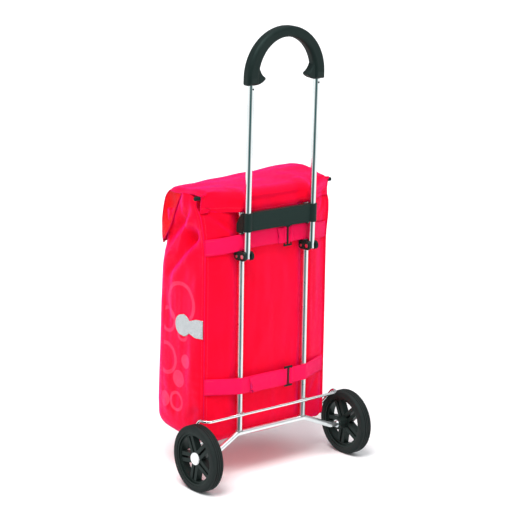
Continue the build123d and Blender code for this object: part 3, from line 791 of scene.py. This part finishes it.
def bag_points():
    """The whole bag, as rows of points from the middle of its floor to its mouth."""
    top = top_line(OUTLINE, PANELS)
    depth = np.where(PANELS == "back", 0, ease(SEAM_Y, CORNER_Y, OUTLINE[:, 1]))
    bend = BOTTOM_BEND + BOTTOM_BEND_MORE * depth
    middle = np.array([0.0, (SEAM_Y + CORNER_Y) / 2])
    lobes = 4.0 * bell(np.abs(OUTLINE[:, 0]), 138, 26) * bell(OUTLINE[:, 1], SEAM_Y, 34)
    rows = []
    first = OUTLINE - NORMALS * bend[:, None]
    for share in FLOOR_SHARES:
        ring = middle + (first - middle) * share
        z = FLOOR_Z + 0.2 - lobes * ease(0.5, 1.0, share)
        rows.append(np.column_stack([ring, np.broadcast_to(z, len(ring))]))
    for k in range(BOTTOM_ROWS):
        angle = math.pi / 2 * k / BOTTOM_ROWS
        ring = OUTLINE - NORMALS * (bend * (1 - math.sin(angle)))[:, None]
        z = FLOOR_Z + bend * (1 - math.cos(angle)) - lobes * math.cos(angle)
        rows.append(np.column_stack([ring, z]))
    base = FLOOR_Z + bend
    share = np.linspace(0, 1, WALL_ROWS)[:, None]
    z = base + (top - base) * share
    stand = relief(z)
    fade = ease(0, 0.06, share)
    lean = np.zeros(z.shape)
    rear = (OUTLINE[:, 1] > SIDE_BOW_Y)[None, :]
    lean += rear * ease(596, 640, z) * np.where(np.abs(OUTLINE[:, 0]) > SEAM_X - 40, 15.0, 6.0)
    flat = OUTLINE[None] + NORMALS[None] * (stand * fade)[:, :, None]
    flat[:, :, 1] -= lean * ease(SIDE_BOW_Y, SEAM_Y, OUTLINE[:, 1])
    walls = np.concatenate([settled(flat, z), z[:, :, None]], axis=2)
    rim = walls[-1]
    goal = middle + [0, 10] + (OUTLINE - NORMALS * HOOD_INSET - middle) * [0.98, 0.8]
    hood = []
    angle = np.arctan2(OUTLINE[:, 1] - middle[1], OUTLINE[:, 0] - middle[0])
    for k in range(1, HOOD_ROWS + 1):
        share = k / HOOD_ROWS
        ring = rim[:, :2] + (goal - rim[:, :2]) * share
        z = rim[:, 2] + (MOUTH_Z - 1 - rim[:, 2]) * share + 3.5 * math.sin(math.pi * share)
        gather = 2.6 * ease(0.15, 1.0, share) * np.sin(46 * angle + 3 * np.sin(5 * angle))
        hood.append(np.column_stack([ring, z + gather]))
    return np.concatenate([np.array(rows), walls, np.array(hood)])


# Where the print's coordinates are sent on panels that have no print, in metres
OFF_PRINT = -9.0


def bag():
    """The sewn sack: one lofted shell from the floor over the walls to the gathered mouth."""
    points = bag_points()
    rows, columns = points.shape[:2]
    faces = grid_faces(rows, columns, closed=True)[:, ::-1].tolist()
    centre = rows * columns
    middle = points[0].mean(axis=0)
    faces += [[k, (k + 1) % columns, centre] for k in range(columns)]
    piece = add_mesh("bag_sack", np.vstack([points.reshape(-1, 3), middle]), faces, MATERIALS["bag_fabric"])
    uv = np.vstack([grid_uv(points), [[0, 0]]])
    set_uv(piece, "weave", uv)
    flat = np.vstack([points.reshape(-1, 3), middle])
    on_side = np.isin(np.append(np.tile(PANELS, rows), "back"), ("left", "right"))
    set_uv(piece, "panel", np.where(on_side[:, None], flat[:, 1:] * MM, OFF_PRINT))
    thicken(piece, FABRIC)
    carried("chassis", "bag_fabric", piece)
    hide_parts("bag_back_panel", "bag_front_panel", "bag_side_left", "bag_side_right",
                "bag_base_panel", "bag_hood")
    return points


def column_line(points, column, low, high):
    """A line up the bag at one column, between two heights."""
    line = points[len(FLOOR_SHARES):-HOOD_ROWS, column]
    return line[(line[:, 2] >= low) & (line[:, 2] <= high)]


def seams(points):
    """Bindings and stitching along the bag's seams, and the hem round its mouth."""
    bindings, threads = MATERIALS["binding"], MATERIALS["thread"]
    for name, column, out in (("left", BACK_COLUMNS, (0.72, 0.69, 0)), ("right", 0, (-0.72, 0.69, 0))):
        out = np.array(out)
        line = even(column_line(points, column, 92, 640), 130)
        along = np.cross(np.tile(out, (130, 1)), [0, 0, 1])
        band = ribbon(f"bag_seam_{name}", line + out * 0.9, along, 4.4, 1.7, bindings, across=4)
        carried("chassis", "bag_fabric", band)
        rows = []
        for step in (-2, 2):
            beside = even(column_line(points, (column + step) % len(OUTLINE), 96, 630), 200)
            on_back = (step < 0) == (name == "left")
            rows.append((beside, np.tile([0.0, 1.0, 0.0] if on_back else [out[0] * 1.4, 0, 0], (200, 1))))
        carried("chassis", "bag_fabric", stitches(f"bag_seam_stitches_{name}", rows, threads))
    front = BACK_COLUMNS + SIDE_COLUMNS + CORNER_COLUMNS
    for name, column in (("left", front - 4), ("right", front + FRONT_COLUMNS + 3)):
        out = np.append(NORMALS[column], 0)
        line = even(column_line(points, column, 132, 598), 120)
        along = np.cross(np.tile(out, (120, 1)), [0, 0, 1])
        band = ribbon(f"bag_front_seam_{name}", line + out * 0.3, along, 2.6, 1.5, bindings, across=4)
        carried("chassis", "bag_fabric", band)
        rows = []
        for step in (-1, 1):
            line = column_line(points, column + step, 134, 596)
            rows.append((line, np.tile(out, (len(line), 1))))
        carried("chassis", "bag_fabric", stitches(f"bag_front_stitches_{name}", rows, threads))
    edge = even(np.vstack([points[-1], points[-1][:1]]), 300)[:-1]
    carried("chassis", "bag_fabric", tube("bag_mouth_hem", edge, 2.1, bindings, 8, closed=True))


seams(bag())


# ---------------------------------------------------------------- lid

LID_COLUMNS = 133
LID_ROWS = 104
LID_TOP = slice(40, 60)
REAR_HEM_Z = 612.0
LID_TILT = 9.0
LEG_TENT = 9.0
LID_PULL = 19.0
LID_CORNER_FACING = 0.78
HEM_STANDS_OFF = 1.7
LID_CORNER_Y = -43.5


def lid_profile():
    """The lid from the side: depth and height from its rear hem, over the rod, to its front hem."""
    rear = [(-14, REAR_HEM_Z), (-11.5, 622), (-13, 637), (-22, 650), (-36, 657.5), (HINGE_Y, 660)]
    over = [(-90, CREST_Z), (CREST_Y, CREST_Z), (-171, CREST_Z - 5), (-194, CREST_Z - 14),
            (-208, CREST_Z - 27), (-217, CREST_Z - 50)]
    front = [(LID_FRONT_Y + LID_PULL, 581), (LID_FRONT_Y + LID_PULL, 556),
             (LID_FRONT_Y + LID_PULL + 2, 536), (LID_FRONT_Y + LID_PULL + 6, LID_HEM_Z + HEM_RISE)]
    return curve_through(rear + over + front, LID_ROWS)


def lid_points():
    """The lid's sheet as rows across it, from its rear hem to its front hem."""
    wall = np.isin(PANELS, ("corner_left", "front", "corner_right"))
    wall &= np.abs(NORMALS[:, 0]) < LID_CORNER_FACING
    around = even((OUTLINE + NORMALS * LID_GROW)[wall], LID_COLUMNS)[::-1]
    u = np.linspace(-1, 1, LID_COLUMNS)
    rows = []
    for y, z in lid_profile():
        wrap = float(ease(CREST_Y, -218, y))
        half = SEAM_X + 8.0 + 1.5 * float(ease(-20, -110, y))
        x = u * half * (1 - wrap) + around[:, 0] * wrap
        depth = y + wrap * (around[:, 1] - around[:, 1].min())
        rear = float(ease(-44, -24, y))
        down = float(ease(REAR_HEM_Z + 2, REAR_HEM_Z + 30, z))
        height = np.full(LID_COLUMNS, z)
        tent = sum(np.exp(-(np.abs(x - side * LEG_X) / 15.0) ** 2.6) for side in (-1, 1))
        depth = depth + rear * tent * LEG_TENT
        height = height + (1 - rear) * float(ease(-64, -40, y)) * tent * 3.0
        between = 1 - ease(70, 86, np.abs(x))
        depth = depth - rear * (4.5 * math.exp(-((z - 635) / 6.0) ** 2)) * between
        depth = depth - rear * (1 - ease(0.9, 1.0, down)) * 1.0
        outside = np.clip((np.abs(x) - LEG_X - 8) / (half - LEG_X - 8), 0, 1) ** 1.4 * rear
        depth = depth * (1 - outside) + (LID_CORNER_Y - 3.0 * float(ease(640, 600, z))) * outside
        top = (1 - rear) * (1 - float(ease(-205, -222, y)))
        height = height - LID_TILT * u * float(ease(-56, -126, y)) * (1 - float(ease(600, 540, z)) * 0.6)
        height = height - top * 9.5 * ease(0.91, 1.0, np.abs(u)) * (1 - wrap)
        height = height - top * 2.5 * (1 - u ** 2)
        height = height + top * 1.5 * soft_noise(x / 60, depth / 40, 5.0)
        front = float(ease(-196, -216, y))
        ripple = 1.6 * soft_noise(x / 38, z / 70, 41.0) * front
        depth = depth - np.abs(ripple)
        flare = front * float(ease(575, LID_HEM_Z, z)) * 1.4 * np.sin(u * 9.0)
        depth = depth - np.abs(flare)
        lies = rear * (1 - float(ease(REAR_HEM_Z + 4, REAR_HEM_Z + 38, z)))
        lies = lies * ease(LEG_X + 16, LEG_X + 34, np.abs(x))
        panel = back_base(x) + back_relief(x, np.full(LID_COLUMNS, z)) + HEM_STANDS_OFF
        panel = panel - seam_lean(x, z)
        depth = depth * (1 - lies) + panel * lies
        hem = rear * (1 - down) * 1.6 * soft_noise(x / 34, 0.5, 52.0) * (1 - lies)
        drop = rear * (1 - down) * 12.0 * (1 - ease(58, 76, np.abs(x)))
        rows.append(np.column_stack([x, depth + hem, height + hem - drop]))
    return np.array(rows)


def bends_with_lid(piece):
    """Cloth that crosses the lid's hinge over the rod: its placement is baked into its points."""
    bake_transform(piece)


def outward(points):
    """Outward normals of the lid's points."""
    across = np.gradient(points, axis=1)
    down = np.gradient(points, axis=0)
    normal = np.cross(across, down)
    normal /= np.linalg.norm(normal, axis=2)[:, :, None]
    return normal * np.sign(np.median(normal[LID_TOP, :, 2]))


def lid():
    """The lid: one sheet from the rear hem over the rod and the bag's mouth to the front hem."""
    points = lid_points()
    normals = outward(points)
    faces = grid_faces(LID_ROWS, LID_COLUMNS)[:, ::-1]
    sheet = add_mesh("lid_sheet", points.reshape(-1, 3), faces.tolist(), MATERIALS["lid_fabric"])
    set_uv(sheet, "weave", grid_uv(points))
    on_top = LID_TOP.start * (LID_COLUMNS - 1) + LID_COLUMNS // 2
    if sheet.data.polygons[on_top].normal.z < 0:
        sheet.data.flip_normals()
    thicken(sheet, FABRIC)
    bends_with_lid(sheet)
    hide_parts("lid_top", "lid_front_flap", "lid_yoke")
    trims = []
    front = points[-1]
    out = normals[-2]
    line = front + out * 0.5 + [0, 0, 5.5]
    trims.append(ribbon("lid_front_hem", line, out, 11.0, 1.4, MATERIALS["lid_fabric"]))
    line = front + out * 1.15 + [0, 0, 9.2]
    trims.append(stitches("lid_front_stitches", [(line, out)], MATERIALS["thread"]))
    carried("lid", "bag_fabric", *trims)
    line = points[0] + normals[2] * 0.35 + [0, 0, 4.0]
    rear = [ribbon("lid_rear_hem", line, normals[2], 8.0, 1.0, MATERIALS["lid_fabric"])]
    line = points[3] + normals[3] * 0.75
    rear.append(stitches("lid_rear_stitches", [(line, normals[3])], MATERIALS["thread"]))
    carried("chassis", "bag_fabric", *rear)
    trims += rear
    for name, column in (("right", 0), ("left", -1)):
        edge = points[:, column]
        binding = tube(f"lid_edge_{name}", even(edge, 150), 1.5, MATERIALS["binding"], 7)
        inner = 2 if column == 0 else -3
        line, facing = points[8:, inner], normals[8:, inner]
        sewn = [(line + facing * 0.1, facing)]
        thread = stitches(f"lid_edge_stitches_{name}", sewn, MATERIALS["thread"])
        for piece in (binding, thread):
            bends_with_lid(piece)
            trims.append(piece)
        gusset(name, SIDES[name], edge)


GUSSET_ROWS = 60
GUSSET_COLUMNS = 9
GUSSET_CLOSES = 51


def gusset(name, side, edge):
    """The crescent that closes a side of the lid: from the sheet's edge inwards to a curved hem."""
    outer = even(edge[int(np.argmax(edge[:, 1] < GUSSET_REAR_Y)):], GUSSET_ROWS)
    first, tip = outer[0], outer[-1]
    hem = curve_through([first[1:], (-128, 617), (-152, 565), (tip[1] + 6, tip[2])], GUSSET_ROWS)
    across = np.linspace(0, 1, GUSSET_COLUMNS)
    dip = np.sin(math.pi * across)
    rows = []
    for k, (y, z) in enumerate(hem):
        fill = math.sin(math.pi * min(1.0, k / 50 + 0.05)) if k < 50 else 0.0
        stands = float(side_relief(np.array([y]), np.array([z]), side)[0])
        x = side * (side_base(y) + max(stands, -3.0) + 1.5)
        inner = np.array([x if k > 4 else first[0] + (x - first[0]) * k / 5, y, z])
        closing = float(ease(GUSSET_CLOSES, GUSSET_ROWS - 1, k))
        inner = inner * (1 - closing) + outer[k] * closing
        strip = outer[k] + (inner - outer[k]) * across[:, None]
        strip[:, 0] -= side * dip * (5.0 * max(fill, 0.15) - 1.4 * math.sin(k / 5.5))
        rows.append(strip)
    rows = np.array(rows)
    faces = grid_faces(GUSSET_ROWS, GUSSET_COLUMNS)
    faces = faces if side > 0 else faces[:, ::-1]
    # The crescent's cloth is painted shade, a darker copy of the bag's red.
    piece = add_mesh(f"lid_side_{name}", rows.reshape(-1, 3), faces, MATERIALS["gusset_fabric_painted_shade"])
    set_uv(piece, "weave", grid_uv(rows))
    thicken(piece, 1.0, 0.0)
    hem = tube(f"lid_side_hem_{name}", even(rows[:, -1], 90), 1.2, MATERIALS["binding"], 7)
    carried("lid", "bag_fabric", piece, hem)
    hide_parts(f"lid_gusset_{name}")


lid()


# ---------------------------------------------------------------- straps and buckles

STRAP_THICK = 1.8
STRAP_DROP = {"upper": 13.0, "lower": -1.0}
STRAP_LIFT = {"upper": 4.0, "lower": 0.0}
TAIL_END = {"upper": 0.0, "lower": 74.0}
BUCKLE_HALF = 11.0


def strap_path(name):
    """Centre line and outward normals of a strap: seam, behind both legs, other seam."""
    lift = LEG_R + 0.3 + STRAP_THICK / 2
    behind = LEG_Y + lift
    end = np.array([SEAM_X + 1.0, SEAM_Y - 0.5])
    slope = math.atan2(behind - end[1], end[0] - LEG_X)
    turn = np.linspace(0, slope, 9)
    bend = np.stack([LEG_X + lift * np.sin(turn), LEG_Y + lift * np.cos(turn)], axis=1)
    middle = np.stack([np.linspace(0, LEG_X - 1, 90), np.full(90, behind)], axis=1)
    outside = bend[-1] + (end - bend[-1]) * np.linspace(0, 1, 34)[1:, None]
    half = np.vstack([middle, bend, outside])
    line = np.vstack([(half * [-1, 1])[:0:-1], half])
    near = np.abs(line[:, 0] - BUCKLE_X[name])
    over = bell(near, BUCKLE_HALF - 1.6, 3.6)
    line[:, 1] += over * 4.4
    run = np.gradient(line, axis=0)
    normals = np.stack([-run[:, 1], run[:, 0], 0 * run[:, 0]], axis=1)
    x = np.abs(line[:, 0])
    z = STRAP_Z[name] + STRAP_LIFT[name] - STRAP_DROP[name] * ease(LEG_X - 30, SEAM_X, x)
    z = z + 0.5 * np.sin(line[:, 0] / 23.0)
    return np.column_stack([line, z]), normals


def strap_tail(name, line, normals, start_x):
    """The loose end of a strap, lying on it, with a slanted tip."""
    inside = (line[:, 0] > start_x) & (line[:, 0] < TAIL_END[name])
    tail = line[inside] + [0, STRAP_THICK + 0.3, 0]
    ahead = ease(start_x + 14, start_x, tail[:, 0])
    tail[:, 1] += 2.0 * ahead + 0.5 * (1 + np.sin(tail[:, 0] / 9.0))
    tail[:, 2] -= 0.8 + 0.012 * (tail[:, 0] - start_x)
    piece = ribbon(f"{name}_tail", tail, normals[inside], STRAP_W - 0.4, STRAP_THICK - 0.3,
                   MATERIALS["webbing"], across=10)
    end_x = TAIL_END[name] * MM
    for vertex in piece.data.vertices:
        if vertex.co.x > end_x - 0.004:
            low = 0.5 + (STRAP_Z[name] * MM - vertex.co.z) / (STRAP_W * MM)
            vertex.co.x -= max(0.0, low) * 0.009
    carried("chassis", "webbing", piece)


def straps():
    """Webbing straps with ladder buckles, loose tails and box stitching at the seams."""
    for name in STRAP_Z:
        line, normals = strap_path(name)
        band = ribbon(f"{name}_webbing", line, normals, STRAP_W, STRAP_THICK,
                      MATERIALS["webbing"], across=10)
        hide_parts(f"{name}_strap")
        carried("chassis", "webbing", band)
        start_x = BUCKLE_X[name] + BUCKLE_HALF + 2
        if TAIL_END[name] > start_x:
            strap_tail(name, line, normals, start_x)
        rows = []
        for side in (-1, 1):
            near_end = line[:, 0] * side > SEAM_X - 22
            end, out = line[near_end], normals[near_end]
            raised = end + out / np.linalg.norm(out, axis=1)[:, None]
            for shift in (-STRAP_W / 2 + 4, STRAP_W / 2 - 4):
                rows.append((raised + [0, 0, shift], out))
        thread = stitches(f"{name}_strap_stitches", rows, MATERIALS["thread"])
        carried("chassis", "webbing", thread)


straps()


# ---------------------------------------------------------------- reflective tabs

TAB_HEAD_Y = -103.0
TAB_NECK = 13.5
TAB_ROOT = 21.0
TAB_ACROSS = 21


def tab_half(y):
    """Half height of the tab at a depth: round head, narrow neck, wider root."""
    head = np.sqrt(np.maximum(TAB_R ** 2 - (y - TAB_HEAD_Y) ** 2, 0))
    root = TAB_NECK + (TAB_ROOT - TAB_NECK) * ease(-84, -56, y)
    neck = np.where(y > TAB_HEAD_Y, root, 0)
    power = 3.0
    return (head ** power + neck ** power) ** (1 / power)


def tabs():
    """A reflective tab sewn into each side seam, lying on the side panel."""
    for name, side in SIDES.items():
        y = np.concatenate([TAB_HEAD_Y - TAB_R * np.cos(np.linspace(0.02, math.pi / 2, 16)),
                            np.linspace(TAB_HEAD_Y + 1.5, SEAM_Y - 1.0, 34)])
        half = tab_half(y)
        v = np.linspace(-1, 1, TAB_ACROSS)
        grid_y = np.broadcast_to(y[:, None], (len(y), TAB_ACROSS))
        grid_z = TAB_Z + half[:, None] * v[None, :]
        x = side_base(grid_y) + side_relief(grid_y, grid_z, side) + 1.3 + 0.5 * ease(-60, -110, grid_y)
        points = np.stack([side * x, grid_y, grid_z], axis=2)
        faces = grid_faces(len(y), TAB_ACROSS)
        faces = faces if side < 0 else faces[:, ::-1]
        piece = add_mesh(f"reflective_patch_{name}", points.reshape(-1, 3), faces, MATERIALS["reflective"])
        set_uv(piece, "weave", points[:, :, 1:].reshape(-1, 2) * MM)
        thicken(piece, 1.1)
        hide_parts(f"reflective_tab_{name}")
        rows = []
        out = np.tile([float(side), 0, 0], (len(y) - 3, 1))
        for column in (1, TAB_ACROSS - 2):
            rows.append((points[3:, column] + out * 0.1, out))
        thread = stitches(f"reflective_stitches_{name}", rows, MATERIALS["white_cap"], radius=0.28)
        carried("chassis", "reflective", piece, thread)


tabs()


# ---------------------------------------------------------------- welds

# How far the base wire's sides rise above its rear bar
WIRE_SIDE_RISE = 0.9
WELD_STEPS = 40
WELD_SIDES = 7
WELD_RIPPLE = 0.22
AXLE_TUBE_BACK = 6.0


def weld_ring(centre, axis, ring, bead, first=0.0, last=360.0):
    """Points and faces of a rippled weld bead round an axis."""
    axis = np.array(axis, float)
    a = np.cross(axis, [0.3, 0.5, 0.8])
    a /= np.linalg.norm(a)
    b = np.cross(axis, a)
    reference = np.array([0, -1.0, 0]) if abs(axis[1]) < 0.5 else np.array([0, 0, 1.0])
    begin = math.atan2(np.dot(reference, b), np.dot(reference, a))
    angle = begin + np.radians(np.linspace(first, last, WELD_STEPS))
    line = np.array(centre) + ring * (np.cos(angle)[:, None] * a + np.sin(angle)[:, None] * b)
    rings = tube_points(line, 1.0, WELD_SIDES)
    size = bead * (1 + WELD_RIPPLE * np.sin(np.arange(WELD_STEPS) * 1.9))
    size[[0, -1]] *= 0.35
    rings = line[:, None] + (rings - line[:, None]) * size[:, None, None]
    faces = grid_faces(WELD_STEPS, WELD_SIDES, closed=True).tolist()
    last_ring = (WELD_STEPS - 1) * WELD_SIDES
    faces += [list(range(WELD_SIDES))[::-1], list(range(last_ring, last_ring + WELD_SIDES))]
    return rings.reshape(-1, 3), faces


def welds():
    """Weld beads where the tubes and wires of the frame meet."""
    wire_r = (corner("cross_wires", 1)[2] - corner("cross_wires", 0)[2]) / 2
    bar_z = corner("base_wire", 1)[2] - wire_r - WIRE_SIDE_RISE
    bar_y = LEG_Y + LEG_R + wire_r
    axle_z = corner("axle_tube", 1)[2] - AXLE_TUBE_BACK
    rod = (corner("hanger_rod", 0) + corner("hanger_rod", 1)) / 2
    beads = {"leg_welds": [], "wire_welds": [], "rod_welds": []}
    for side in (-1, 1):
        x = side * LEG_X
        foot = (x, LEG_Y, axle_z + 5.2)
        beads["leg_welds"].append(weld_ring(foot, (0, 0, 1), LEG_R + 0.2, 1.7))
        for step in (-4.4, 4.4):
            spot = (x + step, bar_y, bar_z)
            beads["wire_welds"].append(weld_ring(spot, (1, 0, 0), wire_r + 0.1, 1.5, -95, 95))
            spot = (x + step * 1.5, rod[1], rod[2])
            beads["rod_welds"].append(weld_ring(spot, (1, 0, 0), 3.1, 1.3))
    for name, parts in beads.items():
        points, faces = [], []
        for ring_points, ring_faces in parts:
            start_at = sum(len(p) for p in points)
            points.append(ring_points)
            faces += [[k + start_at for k in face] for face in ring_faces]
        piece = add_mesh(name, np.vstack(points), faces, MATERIALS["weld"])
        carried("chassis", "chrome_wire", piece)


welds()


# ---------------------------------------------------------------- floor, light and camera

CAMERA_AZIMUTH = math.radians(140.977)
CAMERA_HEIGHT = math.radians(13.685)
CAMERA_ROLL = math.radians(0.851)
CAMERA_DISTANCE = 4.3446
CAMERA_TARGET = Vector((0.0611, AXLE_Y, 0.5102))
CAMERA_LENS = 139.3
FLOOR_REACH = 40000
ROOM_HIGH = (1.5, 1.53, 1.55)
ROOM_SIDES = (2.6, 2.66, 2.68)
ROOM_LOW = (0.78, 0.79, 0.84)
DARK_WALL = (0.1, 0.24, 0.24)
ROOM_STRENGTH = 0.52


def studio_floor():
    """A wide pale floor."""
    material, tree, shader = start("floor", Roughness=0.55, Specular_IOR_Level=0.2)
    where = place(tree)
    patchy = spread(tree, noise_at(tree, where, 2.0), 0.0, 1.0)
    colour = blend_colours(tree, patchy, (0.93, 0.93, 0.93), (0.95, 0.945, 0.945))
    tree.links.new(colour, shader.inputs["Base Color"])
    corners = [(x * FLOOR_REACH, y * FLOOR_REACH, 0) for x, y in ((-1, -1), (1, -1), (1, 1), (-1, 1))]
    floor = add_mesh("floor", corners, [[0, 1, 2, 3]], material, smooth=False)
    floor.visible_glossy = False


def soft_sun(name, toward, strength, spread_degrees):
    """A wide even light from one direction."""
    light = bpy.data.lights.new(name, "SUN")
    light.energy = strength
    light.angle = math.radians(spread_degrees)
    lamp = bpy.data.objects.new(name, light)
    lamp.rotation_euler = Vector(toward).to_track_quat("Z", "Y").to_euler()
    bpy.context.scene.collection.objects.link(lamp)


def lights():
    """A bright even room with a dark wall behind the camera, for the tubes to mirror."""
    world = bpy.data.worlds.new("studio")
    bpy.context.scene.world = world
    world.use_nodes = True
    tree = world.node_tree
    direction = add(tree, "TexCoord").outputs["Generated"]
    parts = add(tree, "SeparateXYZ", in_Vector=direction)
    flat = add(tree, "VectorMath", operation="NORMALIZE")
    joined = add(tree, "CombineXYZ", in_X=parts.outputs["X"], in_Y=parts.outputs["Y"], in_Z=0.0)
    tree.links.new(joined.outputs[0], flat.inputs[0])
    toward = (math.sin(CAMERA_AZIMUTH), -math.cos(CAMERA_AZIMUTH), 0)
    facing = add(tree, "VectorMath", operation="DOT_PRODUCT", in_1=toward)
    tree.links.new(flat.outputs[0], facing.inputs[0])
    dark = spread(tree, facing.outputs["Value"], 0.0, 1.0, 0.72, 0.93)
    dark = times(tree, dark, spread(tree, parts.outputs["Z"], 1.0, 0.0, 0.35, 0.6))
    sides = spread(tree, calculate(tree, "ABSOLUTE", facing.outputs["Value"]), 1.0, 0.0, 0.1, 0.75)
    low = spread(tree, parts.outputs["Z"], 1.0, 0.0, -0.02, 0.2)
    colour = blend_colours(tree, low, ROOM_LOW, ROOM_HIGH)
    colour = blend_colours(tree, times(tree, sides, low), colour, ROOM_SIDES)
    colour = blend_colours(tree, dark, colour, DARK_WALL)
    background = tree.nodes["Background"]
    tree.links.new(colour, background.inputs["Color"])
    background.inputs["Strength"].default_value = ROOM_STRENGTH
    soft_sun("key", (0.6, 0.34, 1.15), 2.9, 32)
    soft_sun("fill", (0.1, 1.0, 0.6), 0.75, 50)
    soft_sun("top", (-0.2, 0.1, 1.0), 0.8, 70)


def camera():
    """The camera, at the view that the object is shown from."""
    data = bpy.data.cameras.new("camera")
    data.lens = CAMERA_LENS
    data.sensor_width = 36.0
    data.clip_start, data.clip_end = 0.05, 200.0
    view = bpy.data.objects.new("camera", data)
    back = Vector((math.sin(CAMERA_AZIMUTH) * math.cos(CAMERA_HEIGHT),
                   -math.cos(CAMERA_AZIMUTH) * math.cos(CAMERA_HEIGHT), math.sin(CAMERA_HEIGHT)))
    view.location = CAMERA_TARGET + back * CAMERA_DISTANCE
    view.rotation_mode = "QUATERNION"
    view.rotation_quaternion = Quaternion(back, CAMERA_ROLL) @ back.to_track_quat("Z", "Y")
    bpy.context.scene.collection.objects.link(view)
    bpy.context.scene.camera = view


studio_floor()
lights()
camera()
bpy.context.scene.view_settings.view_transform = "Standard"

bpy.context.view_layer.update()
